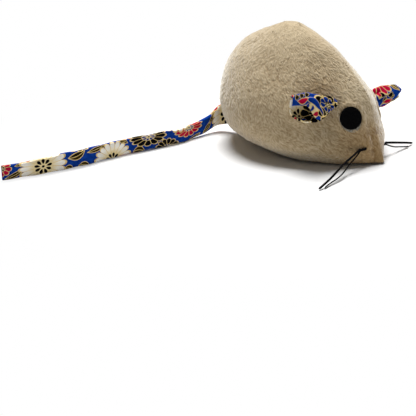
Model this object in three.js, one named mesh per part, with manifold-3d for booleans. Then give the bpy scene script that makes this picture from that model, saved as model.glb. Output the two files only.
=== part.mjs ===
import * as THREE from "three";
import { mergeVertices } from "three/addons/utils/BufferGeometryUtils.js";
import Module from "manifold-3d";

// Plush mouse toy in millimetres. +X runs to the nose, +Y to the mouse's left and +Z up from the floor.

const clearance = 0.3; // between pieces that touch on the real toy

// Body
const bodyHeight = 58;
const rearReach = 45; // from the origin back to the rear seam
const noseReach = 44.3; // from the origin forward to the nose at the floor
const bodyHalfWidth = 31;
const plushThickness = 2.5; // backing and pile together
// Shares of the reaches and the half width at rising shares of the height
const heightShares = [0, 0.12, 0.3, 0.5, 0.7, 0.87, 1];
const rearShares = [0.735, 0.95, 1, 0.98, 0.865, 0.625, 0.235];
const noseShares = [1, 0.958, 0.882, 0.801, 0.574, 0.303, -0.047];
const widthShares = [0.578, 0.915, 1.05, 1.025, 0.915, 0.79, 0.72];
// Powers that round the plan of the body at the same heights: the higher, the sharper
const rearPowers = [1.3, 0.87, 0.71, 0.65, 0.59, 0.54, 0.5];
const nosePowers = [0.97, 0.7, 0.68, 0.72, 0.75, 0.75, 0.75];

// Filling
const catnipRadius = 14;
const catnipHeight = 24;
const catnipCentreX = -4;

// Sewing thread
const threadDiameter = 0.6;
const seamThreadStart = 0.34; // share of the height, above the tail's tuck
const seamThreadEnd = 0.06;
const baseSeamRise = 0.05; // share of the height

// Eyes
const eyeDiameter = 10;
const eyeThickness = 1.2;
const eyeSink = 1.7; // how deep the disc is pressed into the pile
const eyeHeight = 21.5;
const rightEyeBehindNose = 4.75;
const leftEyeBehindNose = 10;
const glueDiameter = 8;
const glueThickness = 0.3;

// Ears
const earLength = 20;
const earHalfWidth = 7; // measured over the cupped cloth
const earBaseHalfWidth = 4.5;
const earTipHalfWidth = 2;
const earThickness = 1.4;
const earBaseCup = 1.7; // half of the angle that the cupped cloth turns through, in radians
const earTipCup = 1.3;
const earStitchLength = 6;
// Seats of the ears, the degrees that they point towards the rear and upwards, and how tightly they are folded
const rightEar = { height: 25.5, behindNose: 8.5, sweep: 39, rise: 2, fold: 1.1 };
const leftEar = { height: 20, behindNose: 16.5, sweep: -5, rise: 2, fold: 1.4 };

// Whiskers
const whiskerDiameter = 0.8;
const knotDiameter = 1.4;
// Seats of the knots: height, and how far the front and the rear end lie behind the nose
const rightKnot = { height: 8, front: 2.9, rear: 4.3 };
const leftKnot = { height: 6, front: 4.2, rear: 5.6 };
const whiskerSpacing = 1.3;
const whiskerArch = 0.8; // rise of a strand above the straight line to its tip
const coreDiameter = 1.2;
const coreBow = 3; // how far the core thread bends back inside the muzzle
// Tips measured from the knot's rear end: forward and outward
const rightUpperTip = [3.2, 35.2];
const rightLowerTip = [4.1, 32.2];
const leftUpperTip = [0.9, 20.9];
const leftLowerTip = [2.2, 14.2];

// Tail
const tailWidth = 7.6; // at the tip
const tailNarrow = 6.6; // where the root ends
const tailThickness = 1.8; // two folded layers
const tailRootWidth = 10.4;
const tailRootHeight = 9.2; // of the middle of the root above the floor
const tailRootOut = 1; // how far the tuck stands out behind the seam at the top of the root
const tuckDepth = 8;
const tailRootLength = 20;
const lapLength = 10; // where the root and the strip lie side by side
const tackLength = 7;
// Route of the strip's middle: behind the root, to the right of it, and share of its drop to the floor
const tailRoute = [
  [0, 0, 0],
  [1.8, 3.6, 0.32],
  [2.8, 8, 0.74],
  [3.2, 17, 0.97],
  [4.2, 29, 1],
  [8.7, 46, 1],
  [13, 63, 1],
  [16, 80, 1],
  [20.2, 96, 1],
  [26.2, 110, 1],
  [29.6, 115.6, 1],
];

// Colours
const plush = { color: 0xc4b08e, roughness: 0.95 };
const cotton = { color: 0x2a4fae, roughness: 0.85 };
const thread = { color: 0xcbbb9c, roughness: 0.8 };
const blackThread = { color: 0x111112, roughness: 0.7 };
const fibre = { color: 0xf2f0ea, roughness: 1 };
const driedLeaf = { color: 0x6f7a45, roughness: 1 };
const blackDisc = { color: 0x0c0c0d, roughness: 0.6 };
const clearGlue = { color: 0xe6e1d2, roughness: 0.3 };

const wasm = await Module();
wasm.setup();

const threadRoom = 2 * clearance;
const rightSide = -1;
const leftSide = 1;
const up = new THREE.Vector3(0, 0, 1);
const toy = new THREE.Group();

function curveOver(heights, shares) {
  const curve = new THREE.CubicInterpolant(heights, shares, 1);
  return (height) => curve.evaluate(height)[0];
}

const rearShare = curveOver(heightShares, rearShares);
const noseShare = curveOver(heightShares, noseShares);
const widthShare = curveOver(heightShares, widthShares);
const rearPower = curveOver(heightShares, rearPowers);
const nosePower = curveOver(heightShares, nosePowers);

// The share of the half width at a station of a level
function planWidth(along, share) {
  const rear = rearPower(share);
  const nose = nosePower(share);
  const widest = rear / (rear + nose);
  const peak = widest ** rear * (1 - widest) ** nose;
  return (along ** rear * (1 - along) ** nose) / peak;
}

// A point of the body's surface, or of the surface that lies inset inside it.
// along runs from 0 at the rear seam to 1 at the nose, and share from 0 at the floor to 1 at the top.
function bodyPoint(along, share, side, inset = 0) {
  const rear = rearReach * rearShare(share) - inset;
  const nose = noseReach * noseShare(share) - inset;
  const dome = Math.sqrt(Math.max(0, 1 - share * share));
  const half = (bodyHalfWidth - inset) * widthShare(share) * dome;
  return new THREE.Vector3(
    -rear + (rear + nose) * along,
    side * half * planWidth(along, share),
    inset + share * (bodyHeight - 2 * inset),
  );
}

// The seat of a feature on the body: its place and the outward direction there
function seatAt(height, behindNose, side) {
  const share = height / bodyHeight;
  const length = rearReach * rearShare(share) + noseReach * noseShare(share);
  const along = 1 - behindNose / length;
  const step = 0.004;
  const place = bodyPoint(along, share, side);
  const ahead = bodyPoint(along + step, share, side).sub(bodyPoint(along - step, share, side));
  const rise = bodyPoint(along, share + step, side).sub(bodyPoint(along, share - step, side));
  const out = ahead.cross(rise).multiplyScalar(-side).normalize();
  return { place, out };
}

function solidFrom(points, triangles) {
  const numbers = points.flatMap((point) => point.toArray());
  const mesh = new wasm.Mesh({
    numProp: 3,
    vertProperties: new Float32Array(numbers),
    triVerts: new Uint32Array(triangles),
  });
  return new wasm.Manifold(mesh);
}

function solidOf(geometry) {
  geometry.deleteAttribute("normal");
  geometry.deleteAttribute("uv");
  const merged = mergeVertices(geometry, 1e-4);
  const mesh = new wasm.Mesh({
    numProp: 3,
    vertProperties: new Float32Array(merged.attributes.position.array),
    triVerts: new Uint32Array(merged.index.array),
  });
  return new wasm.Manifold(mesh);
}

function addPiece(name, solid, finish) {
  const mesh = solid.getMesh();
  const geometry = new THREE.BufferGeometry();
  geometry.setAttribute("position", new THREE.BufferAttribute(mesh.vertProperties, mesh.numProp));
  geometry.setIndex(new THREE.BufferAttribute(mesh.triVerts, 1));
  geometry.computeVertexNormals();
  const piece = new THREE.Mesh(geometry, new THREE.MeshStandardMaterial(finish));
  piece.name = name;
  toy.add(piece);
}

// Shares from 0 to 1 that crowd together at both ends
function crowded(count) {
  return Array.from({ length: count + 1 }, (_, i) => (1 - Math.cos((Math.PI * i) / count)) / 2);
}

function bodySolid(inset, levels, stations) {
  const points = [];
  const rows = [];
  const alongs = crowded(stations);
  for (const share of crowded(levels)) {
    const place = (along, side) => points.push(bodyPoint(along, share, side, inset)) - 1;
    const right = alongs.map((along) => place(along, rightSide));
    const left = right.slice();
    if (share < 1) {
      for (let i = 1; i < stations; i++) {
        left[i] = place(alongs[i], leftSide);
      }
    }
    rows.push({ right, left });
  }
  const triangles = [];
  for (let j = 0; j < levels; j++) {
    const low = rows[j];
    const high = rows[j + 1];
    for (let i = 0; i < stations; i++) {
      const quads = [
        [low.right[i], low.right[i + 1], high.right[i + 1], high.right[i]],
        [low.left[i + 1], low.left[i], high.left[i], high.left[i + 1]],
      ];
      for (const [a, b, c, d] of quads) {
        triangles.push(a, b, c, a, c, d);
      }
    }
  }
  const middle = points.push(bodyPoint(0.5, 0, rightSide, inset).setY(0)) - 1;
  for (let i = 0; i < stations; i++) {
    triangles.push(middle, rows[0].right[i + 1], rows[0].right[i]);
    triangles.push(middle, rows[0].left[i], rows[0].left[i + 1]);
  }
  return solidFrom(points, triangles);
}

function boxBetween(low, high) {
  const size = high.map((value, i) => value - low[i]);
  const geometry = new THREE.BoxGeometry(...size);
  geometry.translate(...low.map((value, i) => value + size[i] / 2));
  return solidOf(geometry);
}

function tube(points, diameter, steps, sides = 8) {
  const ring = Array.from({ length: sides }, (_, i) => {
    const angle = (2 * Math.PI * i) / sides;
    return new THREE.Vector2(Math.cos(angle), Math.sin(angle)).multiplyScalar(diameter / 2);
  });
  const path = new THREE.CatmullRomCurve3(points);
  const options = { steps, bevelEnabled: false, extrudePath: path };
  return solidOf(new THREE.ExtrudeGeometry(new THREE.Shape(ring), options));
}

// A solid of revolution about the line from place along direction
function turned(profile, segments, place, direction) {
  const points = profile.map(([radius, height]) => new THREE.Vector2(radius, height));
  const geometry = new THREE.LatheGeometry(points, segments);
  geometry.applyQuaternion(new THREE.Quaternion().setFromUnitVectors(new THREE.Vector3(0, 1, 0), direction));
  geometry.translate(place.x, place.y, place.z);
  return solidOf(geometry);
}

// A sheet of cloth between two grids of points of the same size
function sheetSolid(front, back) {
  const rows = front.length;
  const columns = front[0].length;
  const points = [...front.flat(), ...back.flat()];
  const face = (row, column) => row * columns + column;
  const behind = (row, column) => rows * columns + face(row, column);
  const triangles = [];
  const quad = (a, b, c, d) => triangles.push(a, b, c, a, c, d);
  for (let r = 0; r + 1 < rows; r++) {
    for (let c = 0; c + 1 < columns; c++) {
      quad(face(r, c), face(r + 1, c), face(r + 1, c + 1), face(r, c + 1));
      quad(behind(r, c), behind(r, c + 1), behind(r + 1, c + 1), behind(r + 1, c));
    }
    quad(face(r, 0), behind(r, 0), behind(r + 1, 0), face(r + 1, 0));
    quad(face(r, columns - 1), face(r + 1, columns - 1), behind(r + 1, columns - 1), behind(r, columns - 1));
  }
  for (let c = 0; c + 1 < columns; c++) {
    quad(face(0, c), face(0, c + 1), behind(0, c + 1), behind(0, c));
    quad(face(rows - 1, c), behind(rows - 1, c), behind(rows - 1, c + 1), face(rows - 1, c + 1));
  }
  const solid = solidFrom(points, triangles);
  return solid.volume() > 0 ? solid : solidFrom(points, triangles.toReversed());
}

// Tail route. It starts at the upright line that the tail swings about, behind the edge of the tuck.
const halfTail = tailThickness / 2;
const rootTop = tailRootHeight + tailRootWidth / 2;
const tuckEdge = bodyPoint(0, rootTop / bodyHeight, rightSide).x - tailRootOut;
const tailStart = new THREE.Vector3(tuckEdge - clearance - halfTail, 0, tailRootHeight);
const tailLie = tailWidth / 2 + clearance;
const tailCurve = new THREE.CatmullRomCurve3(
  tailRoute.map(([behind, right, drop]) => {
    const height = THREE.MathUtils.lerp(tailRootHeight, tailLie, drop);
    return new THREE.Vector3(tailStart.x - behind, -right, height);
  }),
);
const tailLength = tailCurve.getLength();
const lapStart = tailRootLength - lapLength;
const lapMiddle = tailRootLength - lapLength / 2;

// The place on the tail's route at a distance from the root, with the sideways direction there
function tailAt(distance) {
  const share = THREE.MathUtils.clamp(distance / tailLength, 0, 1);
  const tangent = tailCurve.getTangentAt(share);
  const sideways = tangent.cross(up).normalize();
  return { middle: tailCurve.getPointAt(share), sideways };
}

// A point across the strip at a distance from the root, from -1 at its lower edge to 1 at its upper one.
// The strip is flared at the root.
function acrossTail(distance, across) {
  const { middle } = tailAt(distance);
  const flare = 1 - THREE.MathUtils.smoothstep(distance, 0, lapStart);
  const plain = THREE.MathUtils.lerp(tailNarrow, tailWidth, distance / tailLength);
  const width = THREE.MathUtils.lerp(plain, tailRootWidth, flare);
  middle.z += (across * width) / 2;
  return middle;
}

// A length of the strip between two offsets across its thickness.
// The sign of round says which end is rounded about the middle of the lap, and 0 leaves both square.
function tailLengthOf(from, to, rows, columns, offsets, round) {
  const layers = offsets.map(() => []);
  for (let r = 0; r <= rows; r++) {
    const distance = THREE.MathUtils.lerp(from, to, r / rows);
    const { sideways } = tailAt(distance);
    const past = Math.max(0, (round * (distance - lapMiddle)) / (tailWidth / 2));
    const height = Math.sqrt(Math.max(0.02, 1 - past * past));
    offsets.forEach((offset, i) => {
      const place = (across) => acrossTail(distance, across * height).addScaledVector(sideways, offset);
      layers[i].push(columns.map(place));
    });
  }
  return sheetSolid(...layers);
}

const layerFace = clearance / 2;
const roundReach = tailWidth / 2;
const edges = [-1, 1];
const flared = [-1, -0.5, 0, 0.5, 1];
const wholeTail = [halfTail, -halfTail];
const rightLayer = [halfTail, layerFace];
const leftLayer = [-layerFace, -halfTail];
const rootFoot = tailRootHeight - tailRootWidth / 2;
const roundEdge = [[0, rootFoot], [halfTail, rootFoot], [halfTail, rootTop], [0, rootTop]];
const tailRoot = tailLengthOf(0, lapStart, 8, edges, wholeTail, 0)
  .add(turned(roundEdge, 16, tailStart.clone().setZ(0), up))
  .add(tailLengthOf(lapStart - 1, lapMiddle + roundReach, 6, edges, leftLayer, 1));
const tailStrip = tailLengthOf(tailRootLength, tailLength, 36, edges, wholeTail, 0).add(
  tailLengthOf(lapMiddle - roundReach, tailRootLength + 1, 6, edges, rightLayer, -1),
);

// The tuck in the rear seam, with an upright edge behind it, and with room around it when grown
function tuckSolid(grow) {
  const heights = flared.map((across) => tailRootHeight + across * (tailRootWidth / 2 + grow));
  const layer = (side) => {
    const place = (x, height) => new THREE.Vector3(x, side * (halfTail + grow), height);
    const edge = heights.map((height) => place(tuckEdge - grow, height));
    const inner = heights.map((height) => {
      const seam = bodyPoint(0, height / bodyHeight, rightSide);
      return place(seam.x + tuckDepth + grow, height);
    });
    return [edge, inner];
  };
  return sheetSolid(layer(1), layer(-1));
}

// The bar tack lies across the inner end of the tuck
function tackSolid(grow) {
  const reach = tackLength / 2 + grow;
  const points = [-reach, 0, reach].map((rise) => {
    const height = tailRootHeight + rise;
    const point = bodyPoint(0, height / bodyHeight, rightSide);
    point.x += tuckDepth + threadRoom + threadDiameter / 2;
    return point;
  });
  return tube(points, threadDiameter + 2 * grow, 4);
}

// Whisker knots and strands
function whiskersOf(side, seats, upperTip, lowerTip) {
  const front = seatAt(seats.height, seats.front, side);
  const rear = seatAt(seats.height, seats.rear, side);
  const lift = knotDiameter / 2 + clearance;
  const ends = [front, rear].map((seat) => seat.place.clone().addScaledVector(seat.out, lift));
  const outward = ends[1].clone().sub(ends[0]).normalize();
  const start = ends[1].clone().addScaledVector(outward, clearance);
  const strand = (tip, rise) => {
    const begin = start.clone().setZ(start.z + rise);
    const end = new THREE.Vector3(start.x + tip[0], start.y + side * tip[1], whiskerDiameter / 2 + clearance);
    const points = [0, 0.35, 0.7, 1].map((share) => {
      const point = begin.clone().lerp(end, share);
      point.z += whiskerArch * Math.sin(Math.PI * share);
      return point;
    });
    return tube(points, whiskerDiameter, 15);
  };
  const middle = ends[0].clone().lerp(ends[1], 0.5);
  return {
    knot: tube([ends[0], middle, ends[1]], knotDiameter, 3),
    upper: strand(upperTip, whiskerSpacing / 2),
    lower: strand(lowerTip, -whiskerSpacing / 2),
    inner: front.place,
  };
}

const rightWhiskers = whiskersOf(rightSide, rightKnot, rightUpperTip, rightLowerTip);
const leftWhiskers = whiskersOf(leftSide, leftKnot, leftUpperTip, leftLowerTip);

function coreSolid(grow) {
  const middle = rightWhiskers.inner.clone().lerp(leftWhiskers.inner, 0.5);
  middle.x -= coreBow;
  const points = [rightWhiskers.inner, middle, leftWhiskers.inner];
  return tube(points, coreDiameter + 2 * grow, 8);
}

// Seam threads on the inner side of the plush
const threadInset = plushThickness + threadRoom + threadDiameter / 2;

function backSeam() {
  const steps = [0, 0.2, 0.4, 0.6, 0.75, 0.88];
  const atStep = (along, lowest) => (step) => {
    const share = THREE.MathUtils.lerp(lowest, 1, step);
    return bodyPoint(along, share, rightSide, threadInset);
  };
  const rear = steps.map(atStep(0, seamThreadStart));
  const front = steps.map(atStep(1, seamThreadEnd)).reverse();
  const top = bodyPoint(0.5, 1, rightSide, threadInset);
  return tube([...rear, top, ...front], threadDiameter, 40, 6);
}

function baseSeam(grow) {
  const inset = threadInset + threadDiameter / 2;
  const alongs = [0.06, 0.16, 0.32, 0.5, 0.68, 0.82, 0.9];
  const right = alongs.map((along) => bodyPoint(along, baseSeamRise, rightSide, inset));
  const left = alongs.toReversed().map((along) => bodyPoint(along, baseSeamRise, leftSide, inset));
  return tube([...right, ...left], threadDiameter + 2 * grow, 44, 6);
}

function catnipSolid(grow) {
  const bottom = plushThickness + clearance;
  const profile = [
    [0, bottom - 3 * grow],
    [catnipRadius * 0.92 + grow, bottom - 3 * grow],
    [catnipRadius + grow, bottom + catnipHeight * 0.25],
    [catnipRadius * 0.86 + grow, bottom + catnipHeight * 0.6],
    [catnipRadius * 0.5 + grow, bottom + catnipHeight * 0.88],
    [0, bottom + catnipHeight + grow],
  ];
  return turned(profile, 20, new THREE.Vector3(catnipCentreX, 0, 0), up);
}

// A disc about the outward direction of an eye's seat, between two heights above the pile
function eyeDisc(side, profile, segments) {
  const behindNose = side === rightSide ? rightEyeBehindNose : leftEyeBehindNose;
  const seat = seatAt(eyeHeight, behindNose, side);
  return turned(profile, segments, seat.place, seat.out);
}

function eyePocket(side) {
  const radius = eyeDiameter / 2 + clearance;
  const profile = [[0, -eyeSink], [radius, -eyeSink], [radius, eyeDiameter], [0, eyeDiameter]];
  return eyeDisc(side, profile, 24);
}

function eyeGlue(side) {
  const back = clearance - eyeSink;
  const radius = glueDiameter / 2;
  const profile = [[0, back], [radius, back], [radius, back + glueThickness], [0, back + glueThickness]];
  return eyeDisc(side, profile, 20);
}

function eyeSolid(side) {
  const back = 2 * clearance + glueThickness - eyeSink;
  const radius = eyeDiameter / 2;
  const profile = [
    [0, back],
    [radius * 0.94, back],
    [radius, back + eyeThickness * 0.3],
    [radius * 0.92, back + eyeThickness * 0.8],
    [0, back + eyeThickness],
  ];
  return eyeDisc(side, profile, 28);
}

// Side panels and base panel
const innerFacets = [10, 14]; // levels and stations
const outer = bodySolid(0, 16, 22);
const hollow = bodySolid(plushThickness, ...innerFacets);
const far = 2 * (bodyHeight + rearReach + noseReach);
const seamFace = clearance / 2;
const panelFoot = plushThickness + clearance;
const rightHalf = boxBetween([-far, -far, panelFoot], [far, -seamFace, far]);
const leftHalf = boxBetween([-far, seamFace, panelFoot], [far, far, far]);
const baseSlice = boxBetween([-far, -far, -far], [far, far, plushThickness]);
const tuckRoom = tuckSolid(clearance);
const coreRoom = coreSolid(clearance);
const shell = outer
  .subtract(hollow)
  .subtract(tuckRoom)
  .subtract(coreRoom)
  .subtract(eyePocket(rightSide))
  .subtract(eyePocket(leftSide));

addPiece("right_side_panel", shell.intersect(rightHalf), plush);
addPiece("left_side_panel", shell.intersect(leftHalf), plush);
addPiece("base_panel", outer.intersect(baseSlice), plush);
addPiece("back_seam_thread", backSeam(), thread);
addPiece("base_seam_thread", baseSeam(0), thread);

const fillInset = plushThickness + clearance;
const fillBody = bodySolid(fillInset, ...innerFacets);
const grooveHalf = threadDiameter / 2 + threadRoom;
const groove = boxBetween([-far, -grooveHalf, -far], [far, grooveHalf, far])
  .subtract(bodySolid(fillInset + 2 * grooveHalf, ...innerFacets));
const fill = fillBody
  .subtract(groove)
  .subtract(catnipSolid(clearance))
  .subtract(baseSeam(threadRoom))
  .subtract(tuckRoom)
  .subtract(tackSolid(clearance))
  .subtract(coreRoom);
addPiece("fibre_stuffing", fill, fibre);
addPiece("catnip_filling", catnipSolid(0), driedLeaf);

// Ears: a cupped leaf of cloth behind its tacking thread
function earHalfWidthAt(share) {
  const swell = earHalfWidth - THREE.MathUtils.lerp(earBaseHalfWidth, earTipHalfWidth, share);
  const plain = THREE.MathUtils.lerp(earBaseHalfWidth, earTipHalfWidth, share);
  return plain + swell * Math.sin(Math.PI * share ** 0.85) ** 0.8;
}

function addEar(name, side, pose) {
  const seat = seatAt(pose.height, pose.behindNose, side);
  const sweep = THREE.MathUtils.degToRad(pose.sweep);
  const rise = THREE.MathUtils.degToRad(pose.rise);
  const reach = new THREE.Vector3(
    -Math.sin(sweep) * Math.cos(rise),
    side * Math.cos(sweep) * Math.cos(rise),
    Math.sin(rise),
  );
  const axis = seat.out.clone().cross(reach).multiplyScalar(side).normalize();
  const stitchPlace = seat.place.clone().addScaledVector(seat.out, threadDiameter / 2 + clearance);
  const stitchEnds = [-0.5, 0, 0.5].map((share) =>
    stitchPlace
      .clone()
      .addScaledVector(axis, share * earStitchLength)
      .addScaledVector(seat.out, -share * share * 0.4),
  );
  addPiece(`${name}_ear_stitch`, tube(stitchEnds, threadDiameter, 4), thread);

  const forward = seat.out.clone().addScaledVector(reach, -seat.out.dot(reach)).normalize();
  const standOff = threadDiameter / 2 + clearance;
  const root = stitchPlace.clone().addScaledVector(reach, standOff);
  const rows = 10;
  const columns = 12;
  const layer = (offset) =>
    Array.from({ length: rows + 1 }, (_, r) => {
      const share = r / rows;
      const cup = pose.fold * THREE.MathUtils.lerp(earBaseCup, earTipCup, share);
      const radius = earHalfWidthAt(share) / cup;
      return Array.from({ length: columns + 1 }, (_, c) => {
        const turn = cup * ((2 * c) / columns - 1);
        const spoke = radius - offset;
        return root
          .clone()
          .addScaledVector(reach, earLength * share)
          .addScaledVector(axis, spoke * Math.sin(turn))
          .addScaledVector(forward, radius - spoke * Math.cos(turn));
      });
    });
  addPiece(`${name}_ear`, sheetSolid(layer(earThickness / 2), layer(-earThickness / 2)), cotton);
}

for (const [name, side, pose, whiskers] of [
  ["right", rightSide, rightEar, rightWhiskers],
  ["left", leftSide, leftEar, leftWhiskers],
]) {
  addPiece(`${name}_eye_glue`, eyeGlue(side), clearGlue);
  addPiece(`${name}_eye`, eyeSolid(side), blackDisc);
  addEar(name, side, pose);
  addPiece(`${name}_whisker_knot`, whiskers.knot, blackThread);
  addPiece(`${name}_whisker_upper`, whiskers.upper, blackThread);
  addPiece(`${name}_whisker_lower`, whiskers.lower, blackThread);
}
addPiece("whisker_core_thread", coreSolid(0), blackThread);

addPiece("tail_tuck", tuckSolid(0), cotton);
addPiece("tail_stitch", tackSolid(0), thread);
addPiece("tail_root", tailRoot, cotton);
addPiece("tail_strip", tailStrip, cotton);

export default toy;
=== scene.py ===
import math
from functools import partialmethod

import bpy
import numpy as np
from mathutils import Matrix, Vector


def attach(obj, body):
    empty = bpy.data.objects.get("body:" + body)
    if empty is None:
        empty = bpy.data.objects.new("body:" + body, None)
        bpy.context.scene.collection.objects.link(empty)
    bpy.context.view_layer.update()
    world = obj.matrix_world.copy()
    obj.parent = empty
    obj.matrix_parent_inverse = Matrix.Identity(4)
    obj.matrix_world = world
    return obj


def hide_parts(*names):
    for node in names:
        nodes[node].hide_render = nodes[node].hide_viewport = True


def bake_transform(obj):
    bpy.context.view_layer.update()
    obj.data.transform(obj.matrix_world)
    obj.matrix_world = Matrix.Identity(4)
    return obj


# Plush mouse toy. Sizes and places are in millimetres, and the objects are made in metres.
# +X runs to the nose, +Y to the mouse's left and +Z up from the floor.

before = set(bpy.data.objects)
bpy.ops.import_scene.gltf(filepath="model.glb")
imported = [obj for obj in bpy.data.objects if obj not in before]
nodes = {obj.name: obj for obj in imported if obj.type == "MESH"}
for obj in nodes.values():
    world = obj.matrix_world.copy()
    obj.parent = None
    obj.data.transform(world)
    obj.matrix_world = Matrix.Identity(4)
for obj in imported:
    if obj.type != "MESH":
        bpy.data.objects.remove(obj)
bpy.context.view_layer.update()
scene = bpy.context.scene
MM = 0.001
FULL_TURN = 2 * math.pi
UP = np.array([0.0, 0.0, 1.0])
RIGHT = -1
LEFT = 1
SIDES = {"right": RIGHT, "left": LEFT}

# Camera, as seen by a lens of FOCAL_PIXELS in a frame of FRAME_PIXELS
CAMERA_AZIMUTH = math.radians(36)
CAMERA_ELEVATION = math.radians(17)
CAMERA_DISTANCE = 560
FOCAL_PIXELS = 1204
FRAME_PIXELS = 416
ORIGIN_PIXEL = (303.0, 147.0)  # where the toy's origin is seen in the frame
SENSOR_WIDTH = 36
NEAREST_SEEN = 10

# Body, with its outline at shares of its height
BODY_HEIGHT = 58
REAR_REACH = 45
NOSE_REACH = 44.3
BODY_HALF_WIDTH = 31
HEIGHT_SHARES = [0, 0.12, 0.3, 0.5, 0.7, 0.87, 1]
OUTLINE = {
    "rear": [0.735, 0.95, 1, 0.98, 0.865, 0.625, 0.235],
    "nose": [1, 0.958, 0.882, 0.801, 0.574, 0.303, -0.047],
    "width": [0.578, 0.915, 1.05, 1.025, 0.915, 0.79, 0.72],
    "rear_power": [1.3, 0.87, 0.71, 0.65, 0.59, 0.54, 0.5],
    "nose_power": [0.97, 0.7, 0.68, 0.72, 0.75, 0.75, 0.75],
}
BODY_MIDDLE = (0, 0, BODY_HEIGHT / 3)

# Cover
COVER_INSET = 0.15  # the cover starts smaller, because it swells
BASE_SEAM_HEIGHT = 0.9
BASE_LIFT = 0.35  # middle of the base above the floor
BASE_EDGE = 2.2  # width over which the base rises to its seam
COVER_LIFT = 0.05  # the lowest that the pile may lie
PANEL_STATIONS = 90
PANEL_LEVELS = 66
BASE_ROWS = 30
LEVEL_SAMPLES = 600
STATION_SAMPLES = 800
REFINE = 4  # finer steps for the pile in each step of the cover
SWELL_FRAMES = 20
SWELL_PRESSURE = 4
SWELL_LIMIT = 0.6

# Back seam
SEAM_DEPTH = 0.7
SEAM_WIDTH = 1.3
# painted shade that darkens the pile in the open seam's groove
SEAM_PAINTED_SHADE = 0.5
SEAM_WANDER = 3.4  # how far the seam strays to the right at the nose
SEAM_CLOSES = (11, 22)  # heights from which and to which the pile closes over the seam
SEAM_CLOSED = 0.6  # share that it closes, and the share more at the nose
SEAM_CLOSED_NOSE = 0.28
NOSE_START = (20, 40)  # places between which the body turns into the nose

# Pile: shares of its strands, tufts, patches and ribs in its shade and in its relief
PILE_SHADE = (0.3, 0.1, 0.12, 0.1)
PILE_RELIEF = (0.07, 0.09, 0.25, 0.025)
PILE_SEED = 11
TUFT_GRAIN = 1.7
PATCH_GRAIN = 7.0
RIB_GRAIN = 14.0
WALE = 1.25  # distance between the knitted backing's ribs, which show through in places
PAINTED_LIGHT_HEIGHTS = (38, 57)  # heights from which and to which painted light makes the pile paler towards the top
PAINTED_LIGHT_GAIN = 0.32
PALE_STRANDS = -0.1  # change in the strands' share on the back, and on the face
FACE_STRANDS = 0.08
MUZZLE_PAINTED_SHADE = (22, 41)  # places from which and to which painted shade darkens the plush towards the nose, below MUZZLE_TOP
MUZZLE_TOP = (20, 36)
# Painted highlight along the seam over the forehead and nose, between these places and above these heights
FOREHEAD = (15, 30)
FOREHEAD_FOOT = (12, 24)
FOREHEAD_WIDTH = 9
FOREHEAD_PAINTED_HIGHLIGHT = 0.45
# share of the muzzle's painted shade that the painted highlight takes away
FOREHEAD_LIFT = 0.85
# Nap: its lean on the side, how that drifts and strays, and the strands' half length in steps
NAP_LEAN = math.radians(-58)
NAP_DRIFT = math.radians(70)
NAP_DRIFT_GRAIN = 15.0
NAP_STRAY = math.radians(75)
NAP_STRAY_GRAIN = 2.2
STRAND_STEP = 0.2
STRAND_STEPS = 2
SMALLEST_STEP = 0.05
LONGEST_MOVE = 1.5

# Eyes
EYE_RADIUS = 5
EYE_HEIGHT = 21.5
EYE_BEHIND_NOSE = {RIGHT: 4.75, LEFT: 10}
EYE_BACK = -0.8
EYE_FRONT = 0.4
EYE_SEGMENTS = 72
GLUE_SEGMENTS = 60
EYE_POCKET = -1.6  # height of the backing under the glue
POCKET_EDGE = (EYE_RADIUS - 0.6, EYE_RADIUS + 0.35)
POCKET_REACH = 6  # how far from the disc's plane the plush is shaped by the eye
EYE_RIMS = {RIGHT: 0.45, LEFT: 0.8}  # rise of the pile around an eye
EYE_RIM_RADIUS = EYE_RADIUS + 1.3
EYE_RIM_WIDTH = 1.0
# Profiles from the middle of the back, over the edge, to the middle of the front: radius and height
EYE_PROFILE = [
    (0, EYE_BACK), (4.4, EYE_BACK), (4.8, EYE_BACK + 0.1), (4.97, EYE_BACK + 0.4), (5.0, EYE_BACK + 0.7),
    (4.92, EYE_BACK + 0.95), (4.7, EYE_BACK + 1.08), (4.3, EYE_BACK + 1.13), (3.2, EYE_BACK + 1.16),
    (1.6, EYE_BACK + 1.18), (0, EYE_FRONT),
]
GLUE_PROFILE = [(0, -1.5), (3.9, -1.45), (4.5, -1.1), (4.6, -0.9), (4.4, -0.84), (2.0, -0.83), (0, -0.83)]

# Ears
EAR_SEATS = {RIGHT: (25.5, 8.5), LEFT: (20, 16.5)}  # height and distance behind the nose
EAR_THICKNESS = 0.6
EAR_ROWS = 64
# Steps across an ear's back, over its fold and down its front
EAR_WALL = 26
EAR_BEND = 11
EAR_FLAP = 26
EAR_CREASES = ((0.35, 3.1, 31), (0.12, 1.2, 32))  # height, grain and seed
UPPER_CUP = 0.4  # share of an ear's cup and of its tip's rounding that its upper half has
UPPER_ROUND = 0.35
ROLL_WIDTH = 0.06  # width of the roll across the flap as a share of the length, and the dip behind it
ROLL_DIP = 0.4
HEM_WIDTH = 0.9  # edge of the flap that turns in, and how far
HEM_DEPTH = 0.5
EAR_PLEATS = (0.12, 0.13, 8)  # middle and width of the pleats along the ear, and their waves in radians
# The ear's stitch draws a hollow into the plush above it: rise and distance behind the seat, width and depth
EAR_HOLLOW = (6.5, 5, 7, 0.8)
# share of painted shade laid into the ear's hollow
HOLLOW_PAINTED_SHADE = 0.75
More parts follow.
